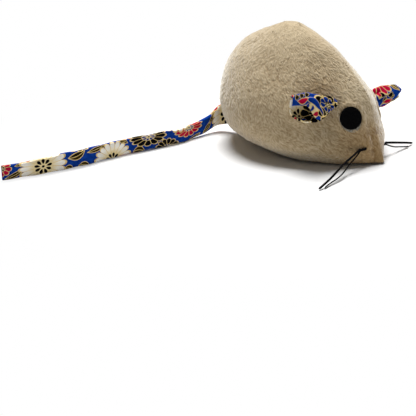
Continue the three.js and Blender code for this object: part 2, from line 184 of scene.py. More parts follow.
# Each ear: its sweep and tilt in degrees, its place on the printed cloth, and at stations along its length
# its half width, the share of the width that the flap covers and the radius of the fold. ridge says where
# the roll lies at the fold, and how far it runs towards the root. The rest are sizes of single forms.
EARS = {
    RIGHT: {
        "sweep": 39, "tilt": 2, "cloth": (202, 22), "stations": [0, 0.12, 0.32, 0.5, 0.64, 0.8, 1],
        "halves": [0.8, 2.2, 4.1, 5.2, 5.5, 5.4, 4.5], "flaps": [0.95, 0.95, 1.0, 0.85, 0.42, 0.34, 0.32],
        "folds": [0.4, 0.9, 1.5, 1.7, 1.6, 1.4, 1.3], "cup": 3.4, "ridge": (0.58, 0.3), "roll": 1.5,
        "belly": 0.9, "round": 2.4, "pleat": 0.5, "lift": 0.8, "length": 21, "rise": 2.2, "hollow": 1.4,
    },
    LEFT: {
        "sweep": -5, "tilt": 2, "cloth": (243, 20), "stations": [0, 0.2, 0.5, 0.8, 1],
        "halves": [3.2, 4.0, 3.6, 3.0, 2.4], "flaps": [0.95, 0.95, 0.92, 0.85, 0.6],
        "folds": [0.6, 1.0, 1.0, 0.9, 0.7], "cup": 1.4, "ridge": (0.9, 0.1), "roll": 0.3,
        "belly": 1.2, "round": 1.0, "pleat": 0.4, "lift": 0, "length": 18, "rise": 0, "hollow": 0,
    },
}
TACK_LENGTH = 6
TACK_DIP = 0.9
TACK_SHARES = (-0.5, -0.3, 0, 0.3, 0.5)

# Threads
THREAD_DIAMETER = 0.6
THREAD_SIDES = 12
THREAD_TAPER = 0.35  # share of the thickness that is left at a tapered end
THREAD_TWIST = 0.9
CLEARANCE = 0.3

# Whiskers
WHISKER_DIAMETER = 0.8
WHISKER_STEPS = 90
WHISKER_WAVE = 0.5
STRAND_SHARES = {"upper": 1.3, "lower": 0.8}  # thickness, because the thread frays
ARCH_LEAN = 0.8  # below 1 the arch is highest nearer to the knot
KNOT_DIAMETER = 1.4
KNOT_SHARE = 0.9  # thickness that the knot's thread has of its diameter
# Seats of the knots: height, and how far the front and the rear end lie behind the nose
KNOT_SEATS = {RIGHT: (8, 2.9, 4.3), LEFT: (6, 4.2, 5.6)}
# Strands: how far the tip lies ahead and outside, rise at the knot, height of the arch, and waves
WHISKER_TIPS = {
    RIGHT: {"upper": (3.2, 35.2, 0.45, -0.2, 1.6), "lower": (4.1, 32.2, -0.45, -1.7, 2.4)},
    LEFT: {"upper": (0.9, 20.9, 0.0, 0.2, 1.2), "lower": (2.2, 15.4, -0.8, -0.8, 2.4)},
}
# Where the knot, its front end and the ear's stitch pull the plush in, and the width and depth of each
PULL_SEATS = {RIGHT: [(8, 3.4), (7, 1.6), EAR_SEATS[RIGHT]], LEFT: [(6, 4.8), (5, 3), EAR_SEATS[LEFT]]}
PULL_SIZES = [(2.0, 0.9), (1.6, 0.7), (2.6, 0.8)]

# Tail
TAIL_WIDTH = 7.6
TAIL_NARROW = 6.6
TAIL_THICKNESS = 1.8
TAIL_ROOT_WIDTH = 10.4
TAIL_ROOT_HEIGHT = 9.2
TAIL_ROOT_OUT = 1
TAIL_ROOT_END = 10.0
TAIL_FLARE = 10  # distance over which the flare at the root narrows
TAIL_END = 32  # length of the free end, which narrows by TAIL_END_LOSS
TAIL_END_LOSS = 1.3
TAIL_TUCK = 7
TAIL_STEP = 0.5
TAIL_LEAD = (3, 2.5)  # how far before and after its start the strip's middle is rounded
TAIL_SAMPLES = 60
# Route of the strip's middle: behind the root, to the right of it, and share of its drop to the floor
TAIL_ROUTE = [
    (0, 0, 0), (1.8, 3.6, 0.32), (2.8, 8, 0.74), (3.2, 17, 0.97), (4.2, 29, 1), (8.7, 46, 1),
    (13, 63, 1), (16, 80, 1), (20.2, 96, 1), (26.2, 110, 1), (29.6, 115.6, 1),
]
FLUTTER = ((0.25, 7.3, 0), (0.18, 2.9, 1))  # height, pitch and start of the strip's waves
FLUTTER_START = (12, 25)
# Points across the strip's near side, round an edge and across its far side, and the cloth round an edge
NEAR_STEPS = 22
EDGE_STEPS = 5
FAR_STEPS = 16
EDGE_CLOTH = 1.8
FLAT_SHARE = 0.94  # share of the strip's width between its rounded edges
EDGE_TURN = 0.35  # angle at which the rounding of an edge starts and ends
SIDE_OFFSET = 0.78  # distance of a side from the strip's middle, and how far it bulges
SIDE_BULGE = 0.14
EDGE_OFFSETS = (0.95, 0.9)  # how far the rounding of the upper and of the lower edge reaches to the sides
LAP = (0.16, 0.24)  # shares of the width over which one edge of the cloth steps over the other
LAP_STEP = 0.2
ROOT_PLEATS = (0.45, 5.5)  # height of the pleats at the root, and their waves in radians
EDGE_WAVES = (0.12, 2.1)  # height and pitch of the waves of the strip's edges
END_INWARD = 0.7  # share by which the cloth at a cut end is drawn in, and how deep that lies
END_DEPTH = 0.5

# Floor and light
FLOOR_REACH = 3000
FLOOR_FADE = (60, 160)  # distances from which and to which the floor turns plain white to the camera
AMBIENT = 0.08  # share of the white surroundings that lights the toy
LAMP_PLACE = (-220, 210, 840)
LAMP_AIM = (0, 0, 30)
LAMP_SIZE = 600
LAMP_WATTS = 14.5


# Numbers and curves

def sizes(vectors):
    return np.linalg.norm(vectors, axis=-1)


def unit(vector):
    return np.asarray(vector, float) / np.maximum(sizes(vector), 1e-9)[..., None]


def smooth_step(low, high, value):
    part = np.clip((np.asarray(value, float) - low) / (high - low), 0, 1)
    return part * part * (3 - 2 * part)


def bell(distance, width):
    return np.exp(-((np.asarray(distance, float) / width) ** 2))


def scattered(lattice, seed):
    """A number from 0 to 1 for each point of a whole-numbered lattice, mixed by large odd factors."""
    mask = 0xFFFFFFFF
    mixed = np.full(lattice.shape[:-1], seed * 668265263 & mask, np.int64)
    for axis, factor in enumerate((73856093, 19349663, 83492791)):
        mixed ^= (lattice[..., axis] * factor) & mask
    for shift, factor in ((15, 2246822519), (13, 3266489917)):
        mixed = ((mixed ^ (mixed >> shift)) * factor) & mask
    return ((mixed ^ (mixed >> 16)) & mask) / mask


def soft_noise(points, seed):
    """Smooth noise from -1 to 1 at points given in units of its grain."""
    cell = np.floor(points).astype(np.int64)
    part = smooth_step(0, 1, points - cell)
    total = 0
    for corner in np.ndindex(2, 2, 2):
        weight = np.prod(np.where(corner, part, 1 - part), axis=-1)
        total = total + weight * scattered(cell + corner, seed)
    return 2 * total - 1


def noise_over(grid, grain, seed):
    return soft_noise(grid.reshape(-1, 3) / grain, seed).reshape(grid.shape[:2])


def bridge(t, low, high, start, end):
    """A smooth curve from low to high, with the given slopes at its start and end."""
    bend = 3 * t ** 2 - 2 * t ** 3
    return low + (high - low) * bend + start * (t ** 3 - 2 * t ** 2 + t) + end * (t ** 3 - t ** 2)


def curve_over(positions, values):
    """A smooth curve through values at rising positions."""
    positions = np.array(positions, float)
    values = np.array(values, float)
    rises = np.diff(values) / np.diff(positions)
    slopes = (np.append(rises[0], rises) + np.append(rises, rises[-1])) / 2

    def at(where):
        high = np.clip(np.searchsorted(positions, where, side="right"), 1, len(positions) - 1)
        low = high - 1
        width = positions[high] - positions[low]
        t = (where - positions[low]) / width
        return bridge(t, values[low], values[high], width * slopes[low], width * slopes[high])

    return at


def lengths_along(points):
    return np.append(0, np.cumsum(sizes(np.diff(points, axis=0))))


def smooth_route(points, steps=24):
    """Points of one smooth curve through the given points."""
    points = np.asarray(points, float)
    reached = [2 * points[0] - points[1], *points, 2 * points[-1] - points[-2]]
    t = np.linspace(0, 1, steps, endpoint=False)[:, None]
    route = []
    for a, b, c, d in zip(reached, reached[1:], reached[2:], reached[3:]):
        first, middle, last = (math.sqrt(sizes(q - p)) for p, q in ((a, b), (b, c), (c, d)))
        start = middle * ((b - a) / first - (c - a) / (first + middle) + (c - b) / middle)
        end = middle * ((c - b) / middle - (d - b) / (middle + last) + (d - c) / last)
        route.append(bridge(t, b, c, start, end))
    return np.concatenate([*route, points[-1:]])


def at_distances(route, distances):
    lengths = lengths_along(route)
    return np.stack([np.interp(distances, lengths, route[:, axis]) for axis in range(3)], axis=1)


# The body's form

outline_at = {key: curve_over(HEIGHT_SHARES, shares) for key, shares in OUTLINE.items()}


def body_point(along, share, side, inset=0.0):
    """A point of the body. along runs from 0 at the rear to 1 at the nose, and share from 0 at the floor."""
    along, share = np.broadcast_arrays(np.asarray(along, float), np.asarray(share, float))
    rear, nose, width, back, front = (curve(share) for curve in outline_at.values())
    rear = REAR_REACH * rear - inset
    nose = NOSE_REACH * nose - inset
    half = (BODY_HALF_WIDTH - inset) * width * np.sqrt(np.clip(1 - share ** 2, 0, 1))
    widest = back / (back + front)
    peak = widest ** back * (1 - widest) ** front
    plan = along ** back * np.clip(1 - along, 0, 1) ** front / peak
    height = inset + share * (BODY_HEIGHT - 2 * inset)
    return np.stack([-rear + (rear + nose) * along, side * half * plan, height], axis=-1)


def seat_at(height, behind_nose, side):
    """A place on the body, and the outward direction there."""
    share = height / BODY_HEIGHT
    length = REAR_REACH * outline_at["rear"](share) + NOSE_REACH * outline_at["nose"](share)
    along = 1 - behind_nose / length
    step = 0.004
    ahead = body_point(along + step, share, side) - body_point(along - step, share, side)
    rise = body_point(along, share + step, side) - body_point(along, share - step, side)
    return body_point(along, share, side), unit(-side * np.cross(ahead, rise))


# Making objects

def link_object(name, data, matrix=None):
    made = bpy.data.objects.new(name, data)
    if matrix:
        made.matrix_world = matrix
    scene.collection.objects.link(made)
    return made


def make_object(name, points, faces, **values):
    """A smooth mesh object of points in millimetres. values are numbers or places stored on its points."""
    mesh = bpy.data.meshes.new(name)
    mesh.from_pydata((np.asarray(points) * MM).tolist(), [], [list(map(int, face)) for face in faces])
    mesh.polygons.foreach_set("use_smooth", [True] * len(mesh.polygons))
    for key, value in values.items():
        value = np.asarray(value, np.float32)
        kind, slot = ("FLOAT", "value") if value.ndim == 1 else ("FLOAT_VECTOR", "vector")
        mesh.attributes.new(key, kind, "POINT").data.foreach_set(slot, value.ravel())
    mesh.update()
    return link_object(name, mesh)


def dress(piece, material):
    piece.data.materials.clear()
    piece.data.materials.append(material)


def mount(piece, material, replaced, body=None):
    """Gives a piece its material, and says which nodes it stands for and which body it rides on, if one."""
    dress(piece, material)
    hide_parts(*replaced)
    if body:
        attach(piece, body)


def grid_faces(rows, columns, start=0, closed=False):
    """Quads between the points of a grid, which is closed across its columns if asked."""
    index = start + np.arange(rows * columns).reshape(rows, columns)
    if closed:
        index = np.append(index, index[:, :1], axis=1)
    corners = (index[:-1, :-1], index[:-1, 1:], index[1:, 1:], index[1:, :-1])
    return np.stack(corners, axis=-1).reshape(-1, 4).tolist()


def grid_normals(grid):
    return unit(np.cross(np.gradient(grid, axis=1), np.gradient(grid, axis=0)))


def sheet_object(name, grid, thickness, cloth):
    """A closed sheet about a grid of points, with cloth holding the grid's places on the flat cloth."""
    rows, columns = grid.shape[:2]
    half = grid_normals(grid) * thickness / 2
    points = np.concatenate([(grid + half).reshape(-1, 3), (grid - half).reshape(-1, 3)])
    count = rows * columns
    faces = grid_faces(rows, columns)
    behind = [[count + i for i in reversed(face)] for face in faces]
    index = np.arange(count).reshape(rows, columns)
    rim = [*index[:, 0], *index[-1, 1:], *index[-2::-1, -1], *index[0, -2:0:-1]]
    edge = [(b, a, count + a, count + b) for a, b in zip(rim, rim[1:] + rim[:1])]
    return make_object(name, points, faces + behind + edge, cloth=np.tile(cloth.reshape(-1, 3), (2, 1)))


def ringed_form(rings, first, last):
    """Points and faces of a form through closed rings, with a middle point at each end."""
    rows, columns = rings.shape[:2]
    count = rows * columns
    faces = grid_faces(rows, columns, closed=True)
    for column in range(columns):
        beside = (column + 1) % columns
        faces.append((count, beside, column))
        faces.append((count + 1, count - columns + column, count - columns + beside))
    return np.concatenate([rings.reshape(-1, 3), [first, last]]), faces


def tube_object(name, route, diameter, twist, ply, taper=0.0):
    """A thread along a route, narrower over the last taper of its length. ply is the depth of the grooves
    between its two strands, which turn once in twist."""
    tangent = unit(np.gradient(route, axis=0))
    side = unit(np.cross(tangent, UP + 0.01))
    top = np.cross(side, tangent)
    length = lengths_along(route)
    angle = np.linspace(0, FULL_TURN, THREAD_SIDES, endpoint=False)
    turn = FULL_TURN * length[:, None] / twist
    radius = diameter / 2 * (1 - ply * (0.5 - 0.5 * np.cos(2 * (angle - turn))))
    if taper:
        left = THREAD_TAPER + (length[-1] - length) / taper
        radius = radius * np.clip(left, THREAD_TAPER, 1)[:, None]
    spokes = np.cos(angle)[:, None] * side[:, None] + np.sin(angle)[:, None] * top[:, None]
    points, faces = ringed_form(route[:, None] + radius[..., None] * spokes, route[0], route[-1])
    thread = np.zeros((len(points), 3))
    thread[:radius.size, 0] = np.repeat(length, THREAD_SIDES)
    thread[:radius.size, 1] = np.tile(angle, len(route))
    return make_object(name, points, faces, thread=thread)


# Colours

def colour(red, green, blue):
    """A linear colour from display values of 0 to 255."""
    def straight(value):
        value = value / 255
        return value / 12.92 if value <= 0.04045 else ((value + 0.055) / 1.055) ** 2.4
    return (straight(red), straight(green), straight(blue), 1.0)


WHITE = colour(255, 255, 255)
GOLD = colour(236, 208, 138)
PALE_GOLD = colour(240, 221, 168)
CREAM = colour(255, 252, 244)
INK = colour(12, 11, 16)
CRIMSON = colour(182, 20, 60)
BLUE = colour(15, 56, 146)
DARK_LEAF = colour(36, 28, 14)
BROWN_LEAF = colour(58, 42, 14)
OLIVE = colour(104, 80, 34)

# Print on the cotton, from below upwards: leaves, flowers and loose petals

WEAVE_PITCH = 0.36
HEART_PETALS = 9
# Flowers: place along and across the cloth, radius, squash, turn, number of petals, petal and heart colours
TAIL_FLOWERS = [
    (-1.5, 3.5, 9.5, 1, 0.2, 18, CREAM, INK),
    (24.6, 6.8, 9, 0.5, 0.1, 13, CRIMSON, BLUE),
    (47.6, 6.9, 9.6, 0.5, 0.3, 13, INK, BLUE),
    (37.6, -0.8, 6.4, 0.75, 0.4, 13, INK, BLUE),
    (67.3, -0.7, 10, 0.9, 0, 18, CREAM, INK),
    (102.9, 3.9, 11, 0.9, 0.15, 18, CREAM, INK),
    (121.5, 6.4, 4.5, 1, 0.5, 9, CRIMSON, INK),
    (4, 14, 6.5, 1, 0.2, 13, CRIMSON, BLUE),
    (30, 15, 9, 1, 0.2, 16, CREAM, INK),
    (58, 15, 7, 1, 0.1, 13, CRIMSON, BLUE),
    (84, 15.5, 8, 1, 0.3, 13, INK, BLUE),
    (110, 15, 7, 1, 0, 13, CRIMSON, INK),
]
EAR_FLOWERS = [
    (219, 13.5, 9.5, 1, 0.2, 12, CREAM, INK),
    # all-black flower inside the ear: partly the print's black petals, partly painted shadow of the ear's
    # hollow
    (211.6, 14.6, 6.6, 1, 0.3, 9, INK, INK),
    (205.6, 31, 7.8, 1, 0.1, 7, INK, INK),
    (206.7, 28.4, 3.5, 1, 0.1, 8, BLUE, INK),
    (256, 11, 7, 1, 0, 14, CREAM, INK),
    (248.2, 18.6, 8.3, 1, 0.4, 12, CRIMSON, BLUE),
]
# Leaves: place along and across, half length, half width and turn in degrees
TAIL_LEAVES = [
    (86.4, 5.4, 4.6, 2, 164), (75.5, 6.5, 6, 1.3, 168), (90.5, 0.4, 2.6, 1.6, 20), (83, 0.5, 3.2, 1.6, 10),
    (61, 7.3, 2.8, 1.3, 20), (52.6, 1, 3.3, 2.2, 10), (21, 0.3, 4.6, 1.1, 170), (11.5, 2.6, 4.2, 1.4, 140),
    (8, 6.2, 3.6, 1.3, 130), (115.5, 2.2, 5.2, 1.3, 155), (113, 7.2, 2.8, 1.1, 0), (44, 13, 4, 1.5, 30),
    (72, 14, 4, 1.5, -20), (98, 13, 4, 1.5, 10), (15, 13, 4.2, 1.5, -10),
]
EAR_LEAVES = [
    (246, 12, 4, 1.5, 60), (257.6, 23, 3, 2, 80), (252.5, 27.6, 2.2, 1.1, 10),
    (247, 29, 2.4, 1, -30), (261, 18, 3, 1.4, 90), (208.8, 25, 2.8, 0.9, 115),
]
# Loose petals: place along and across, half length, half width, turn in degrees and colour
EAR_PETALS = [
    (214.3, 33.4, 5, 3.2, 124, PALE_GOLD), (215.8, 30.9, 1.4, 0.9, 60, BLUE),
    (213.8, 32.9, 1.4, 0.9, 60, BLUE), (212.2, 35.4, 1.7, 1.1, 45, CRIMSON),
    (212.4, 30.3, 5.6, 1.35, 134, BLUE), (217.8, 28.1, 2.8, 1.4, 0, CRIMSON),
    (215.6, 25.6, 1.3, 1, 90, DARK_LEAF), (218, 25.5, 1.3, 1, 90, DARK_LEAF),
    (220.3, 25.6, 1.4, 1.1, 90, DARK_LEAF), (222.4, 24.2, 1.5, 0.9, 90, CRIMSON),
    (221.4, 12.6, 1, 0.6, 20, CRIMSON), (217.6, 11.2, 1.8, 0.7, 0, BLUE),
    (252, 27.2, 2.4, 1, -20, INK), (246.6, 26.2, 1.6, 1, 60, INK), (249.5, 29.8, 4.2, 1.1, 0, CRIMSON),
]
FLOWER_NUMBERS = ("Across", "Up", "Radius", "Squash", "Turn", "Petals")
FLOWER_COLOURS = ("Petal", "Base", "Heart")
LEAF_NUMBERS = ("Across", "Up", "Length", "Width", "Cosine", "Sine")
LEAF_COLOURS = ("Dark", "Light", "Vein")


# Materials

class Nodes:
    """Builds the nodes of a material, group or world. A value is a number, a colour or a node's output."""

    def __init__(self, tree):
        self.tree = tree

    def fill(self, node, values):
        """Puts values at a node's inputs, by name or number."""
        for key, value in dict(values).items():
            if isinstance(value, bpy.types.NodeSocket):
                self.tree.links.new(value, node.inputs[key])
            else:
                node.inputs[key].default_value = value

    def add(self, kind, values=(), **settings):
        """The outputs of a new node."""
        made = self.tree.nodes.new(kind)
        for key, value in settings.items():
            setattr(made, key, value)
        self.fill(made, values)
        return made.outputs

    def math(self, operation, *values):
        return self.add("ShaderNodeMath", enumerate(values), operation=operation)[0]

    plus = partialmethod(math, "ADD")
    minus = partialmethod(math, "SUBTRACT")
    times = partialmethod(math, "MULTIPLY")
    over = partialmethod(math, "DIVIDE")
    scaled = partialmethod(math, "MULTIPLY_ADD")
    largest = partialmethod(math, "MAXIMUM")
    size = partialmethod(math, "ABSOLUTE")
    root = partialmethod(math, "SQRT")
    sine = partialmethod(math, "SINE")

    def mix(self, factor, low, high, blend="MIX"):
        values = {"Factor": factor, "A": low, "B": high}
        return self.add("ShaderNodeMix", values, data_type="RGBA", blend_type=blend)["Result"]

    def ramp(self, value, low, high):
        values = {"Value": value, "From Min": low, "From Max": high}
        return self.add("ShaderNodeMapRange", values, interpolation_type="SMOOTHSTEP")["Result"]

    def attribute(self, name, output):
        return self.add("ShaderNodeAttribute", attribute_name=name)[output]

    def object_place(self):
        return self.add("ShaderNodeTexCoord")["Object"]

    def parts(self, vector):
        return self.add("ShaderNodeSeparateXYZ", {0: vector})

    def noise(self, scale, detail=2, vector=None):
        values = {"Scale": scale, "Detail": detail, "Vector": vector or self.object_place()}
        return self.add("ShaderNodeTexNoise", values)["Fac"]

    def bump(self, height, strength, distance):
        values = {"Height": height, "Strength": strength, "Distance": distance * MM}
        return self.add("ShaderNodeBump", values)["Normal"]

    def seen(self):
        """1 for what the camera sees, also by way of gloss and glass, and 0 for other light."""
        rays = self.add("ShaderNodeLightPath")
        bounced = self.largest(rays["Is Glossy Ray"], rays["Is Transmission Ray"])
        return self.largest(rays["Is Camera Ray"], bounced)


def new_material(name, inputs, *values):
    """A material whose shader gets the inputs that a function makes of its nodes and the given values."""
    material = bpy.data.materials.new(name)
    material.use_nodes = True
    make = Nodes(material.node_tree)
    make.fill(material.node_tree.nodes["Principled BSDF"], inputs(make, *values))
    return material


def plush_inputs(make):
    # pile holds the pile's own shade, plus painted light on the top and forehead and painted shade in the
    # back seam
    pile = make.ramp(make.attribute("pile", "Fac"), 0, 1)
    depths = make.mix(pile, colour(120, 92, 55), colour(224, 208, 176))
    patches = make.ramp(make.noise(90, 3), 0.35, 0.7)
    tips = make.mix(0.35, depths, make.mix(patches, colour(176, 150, 110), colour(190, 168, 130)))
    fibres = make.noise(2600)
    tint = make.mix(make.ramp(fibres, 0.3, 0.7), colour(160, 136, 98), colour(206, 186, 148))
    fleece = make.mix(0.2, tips, tint)
    return {
        # painted shade darkens and warms the plush on the lower muzzle and in the ear's hollow
        "Base Color": make.mix(make.attribute("pressed", "Fac"), fleece, colour(231, 215, 191), "MULTIPLY"),
        "Roughness": make.scaled(fibres, 0.15, 0.82),
        "Normal": make.bump(fibres, 0.35, 0.3),
        "Specular IOR Level": 0.15,
        "Sheen Weight": 1.0,
        "Sheen Roughness": 0.45,
        "Sheen Tint": colour(244, 244, 240),
    }


def print_group(name, numbers, colours):
    """A group that draws over the colour Under, with its nodes, its inputs and the way from its middle."""
    group = bpy.data.node_groups.new(name, "ShaderNodeTree")
    wanted = {"Vector": ("Place",), "Float": numbers, "Color": ("Under", *colours)}
    for kind, names in wanted.items():
        for socket in names:
            group.interface.new_socket(socket, in_out="INPUT", socket_type=f"NodeSocket{kind}")
    group.interface.new_socket("Color", in_out="OUTPUT", socket_type="NodeSocketColor")
    make = Nodes(group)
    given = make.add("NodeGroupInput")
    place = make.parts(given["Place"])
    return group, make, given, make.minus(place[0], given["Across"]), make.minus(place[1], given["Up"])


def flower_group():
    """A many-petalled flower."""
    group, make, given, along, across = print_group("flower", FLOWER_NUMBERS, FLOWER_COLOURS)
    x = make.over(along, given["Radius"])
    y = make.over(across, make.times(given["Radius"], given["Squash"]))
    far = make.root(make.plus(make.times(x, x), make.times(y, y)))
    angle = make.plus(make.math("ARCTAN2", y, x), given["Turn"])

    def petal_part(count):
        """0 along the middle of a petal and 1 between petals."""
        part = make.math("FRACT", make.times(make.over(angle, FULL_TURN), count))
        return make.size(make.scaled(part, 2, -1))

    outer = petal_part(given["Petals"])
    rounded = make.root(make.minus(1.0001, make.times(outer, outer)))
    to_edge = make.minus(make.scaled(rounded, 0.3, 0.7), far)
    to_gap = make.times(make.minus(1, outer), far)
    line = make.math("MINIMUM", to_edge, make.times(to_gap, 0.5))
    petal = make.mix(make.ramp(far, 0.3, 0.78), given["Base"], given["Petal"])
    drawn = make.mix(make.ramp(line, 0.02, 0.06), GOLD, petal)
    disc = make.mix(make.ramp(far, 0.36, 0.42), PALE_GOLD, drawn)
    ring = make.over(make.minus(far, 0.13), 0.25)
    hump = make.times(ring, make.minus(1, ring))
    drop = make.root(make.largest(make.times(hump, 3), 0))
    hearts = make.ramp(make.minus(drop, petal_part(HEART_PETALS)), 0.08, 0.2)
    filled = make.mix(hearts, disc, given["Heart"])
    dotted = make.mix(make.ramp(far, 0.05, 0.07), INK, filled)
    shown = make.ramp(to_edge, -0.055, -0.035)
    make.add("NodeGroupOutput", {"Color": make.mix(shown, given["Under"], dotted)})
    return group


def leaf_group():
    """A curved leaf or petal with a gold edge and a vein."""
    group, make, given, x, y = print_group("leaf", LEAF_NUMBERS, LEAF_COLOURS)
    turned_x = make.plus(make.times(x, given["Cosine"]), make.times(y, given["Sine"]))
    turned_y = make.minus(make.times(y, given["Cosine"]), make.times(x, given["Sine"]))
    along = make.over(turned_x, given["Length"])
    square = make.times(along, along)
    across = make.plus(make.over(turned_y, given["Width"]), make.times(square, 0.5))
    inside = make.minus(make.minus(1, square), make.size(across))
    flesh = make.mix(make.ramp(across, -0.2, 0.25), given["Dark"], given["Light"])
    veined = make.mix(make.ramp(make.size(across), 0.05, 0.11), given["Vein"], flesh)
    edged = make.mix(make.ramp(inside, 0.15, 0.25), GOLD, veined)
    make.add("NodeGroupOutput", {"Color": make.mix(make.ramp(inside, -0.04, 0.04), given["Under"], edged)})
    return group


def cotton_inputs(make, flowers, leaves, leaf_light, petals=()):
    place = make.attribute("cloth", "Vector")
    shades = make.ramp(make.noise(0.6, 2, place), 0.3, 0.7)
    drawn = make.mix(shades, colour(11, 50, 134), colour(22, 68, 164))

    def draw(group, under, names, values):
        given = {"Place": place, "Under": under, **dict(zip(names, values))}
        return make.add("ShaderNodeGroup", given, node_tree=group)["Color"]

    def draw_leaf(under, shape, colours):
        *size, degrees = shape
        turn = math.radians(degrees)
        values = (*size, math.cos(turn), math.sin(turn), *colours)
        return draw(leaf, under, LEAF_NUMBERS + LEAF_COLOURS, values)

    for shape in leaves:
        drawn = draw_leaf(drawn, shape, (DARK_LEAF, leaf_light, GOLD))
    for *shape, petal, heart in flowers:
        base = PALE_GOLD if petal is CREAM else petal
        drawn = draw(flower, drawn, FLOWER_NUMBERS + FLOWER_COLOURS, (*shape, petal, base, heart))
    for *shape, tint in petals:
        drawn = draw_leaf(drawn, shape, (tint, tint, tint))
    along, across, _ = make.parts(place)
    warp, weft = (make.sine(make.times(way, FULL_TURN / WEAVE_PITCH)) for way in (along, across))
    weave = make.times(warp, weft)
    worn = make.mix(make.ramp(weave, -1, 1.2), colour(222, 214, 198), WHITE)
    return {
        "Base Color": make.mix(0.4, drawn, worn, "MULTIPLY"),
        "Roughness": make.scaled(weave, 0.06, 0.72),
        "Normal": make.bump(weave, 0.35, 0.1),
        "Specular IOR Level": 0.0,
    }


def thread_inputs(make, dark, light, roughness):
    along, angle, _ = make.parts(make.attribute("thread", "Vector"))
    turn = make.scaled(along, -FULL_TURN / THREAD_TWIST, angle)
    fuzz = make.noise(1800)
    shade = make.scaled(make.sine(make.times(turn, 2)), 0.25, fuzz)
    return {
        "Base Color": make.mix(make.ramp(shade, 0.2, 0.8), dark, light),
        "Roughness": make.scaled(fuzz, 0.2, roughness),
        "Normal": make.bump(shade, 0.3, 0.1),
        "Specular IOR Level": 0.02,
    }


def speckled_inputs(make, dark, light, grain, roughness, bump, constants=()):
    speckle = make.noise(grain, 4)
    return {
        "Base Color": make.mix(make.ramp(speckle, 0.35, 0.65), dark, light),
        "Roughness": make.scaled(speckle, 0.2, roughness),
        "Normal": make.bump(speckle, bump, 0.2),
        **dict(constants),
    }


leaf = leaf_group()
flower = flower_group()
plush = new_material("plush", plush_inputs)
tail_cotton = new_material("tail_cotton", cotton_inputs, TAIL_FLOWERS, TAIL_LEAVES, BROWN_LEAF)
ear_cotton = new_material("ear_cotton", cotton_inputs, EAR_FLOWERS, EAR_LEAVES, OLIVE, EAR_PETALS)
black_thread = new_material("black_thread", thread_inputs, colour(3, 3, 4), colour(11, 11, 12), 0.5)
pale_thread = new_material("pale_thread", thread_inputs, colour(150, 132, 100), colour(214, 200, 170), 0.6)
eye_black = new_material(
    "eye_disc", speckled_inputs, colour(3, 3, 4), colour(12, 12, 13), 1500, 0.7, 0.2,
    {"Specular IOR Level": 0.02})
glue = new_material(
    "clear_glue", speckled_inputs, colour(150, 142, 122), colour(196, 190, 172), 900, 0.12, 0.3,
    {"Transmission Weight": 0.35, "IOR": 1.48})
fibre = new_material(
    "fibre_fill", speckled_inputs, colour(205, 202, 192), colour(246, 244, 238), 700, 0.8, 0.6)
leaf_fill = new_material(
    "dried_leaf", speckled_inputs, colour(66, 74, 30), colour(138, 142, 82), 500, 0.8, 0.8)


# Camera

def add_camera():
    middle = FRAME_PIXELS / 2
    aim = Vector((ORIGIN_PIXEL[0] - middle, middle - ORIGIN_PIXEL[1], -FOCAL_PIXELS)).normalized()
    turn = Vector((0, 0, -1)).rotation_difference(aim).to_matrix().transposed()
    tilt = Matrix.Rotation(math.pi / 2 - CAMERA_ELEVATION, 3, "X")
    facing = Matrix.Rotation(CAMERA_AZIMUTH, 3, "Z") @ tilt
    place = facing.col[2] * CAMERA_DISTANCE * MM
    lens = bpy.data.cameras.new("camera")
    lens.sensor_width = SENSOR_WIDTH
    lens.lens = SENSOR_WIDTH * FOCAL_PIXELS / FRAME_PIXELS
    lens.clip_start = NEAREST_SEEN * MM
    scene.camera = link_object("camera", lens, Matrix.Translation(place) @ (facing @ turn).to_4x4())


add_camera()


# Tail

def tail_points():
    top = TAIL_ROOT_HEIGHT + TAIL_ROOT_WIDTH / 2
    edge = body_point(0.0, top / BODY_HEIGHT, RIGHT)[0] - TAIL_ROOT_OUT
    start = edge - CLEARANCE - TAIL_THICKNESS / 2
    lie = TAIL_WIDTH / 2 + CLEARANCE
    return [
        (start - behind, -right, TAIL_ROOT_HEIGHT + (lie - TAIL_ROOT_HEIGHT) * drop)
        for behind, right, drop in TAIL_ROUTE
    ]


tail_route = smooth_route(tail_points())
tail_length = lengths_along(tail_route)[-1]
tail_start = tail_route[0]


def tail_ring():
    """The folded strip's outline: shares across its width, offsets in thickness and places on the cloth."""
    near = np.linspace(-FLAT_SHARE, FLAT_SHARE, NEAR_STEPS)
    far = np.linspace(FLAT_SHARE, -FLAT_SHARE, FAR_STEPS)
    round_edge = np.linspace(EDGE_TURN, math.pi - EDGE_TURN, EDGE_STEPS)
    upper = FLAT_SHARE + (1 - FLAT_SHARE) * np.sin(round_edge)
    near_side, far_side = (SIDE_OFFSET + SIDE_BULGE * (1 - side * side) for side in (near, far))
    lap = LAP_STEP * smooth_step(*LAP, near)
    across = [near, upper, far, -upper]
    over_upper, over_lower = (reach * np.cos(round_edge) for reach in EDGE_OFFSETS)
    offset = [-near_side - lap, -over_upper, far_side, over_lower]
    half = TAIL_WIDTH / 2
    over_top = 2 * half + EDGE_CLOTH
    flat = [
        half * (near + 1), np.linspace(2 * half, over_top, EDGE_STEPS), over_top + half * (1 - far),
        np.linspace(4 * half + 2, 4 * half + 2 * EDGE_CLOTH, EDGE_STEPS),
    ]
    return (np.concatenate(parts) for parts in (across, offset, flat))


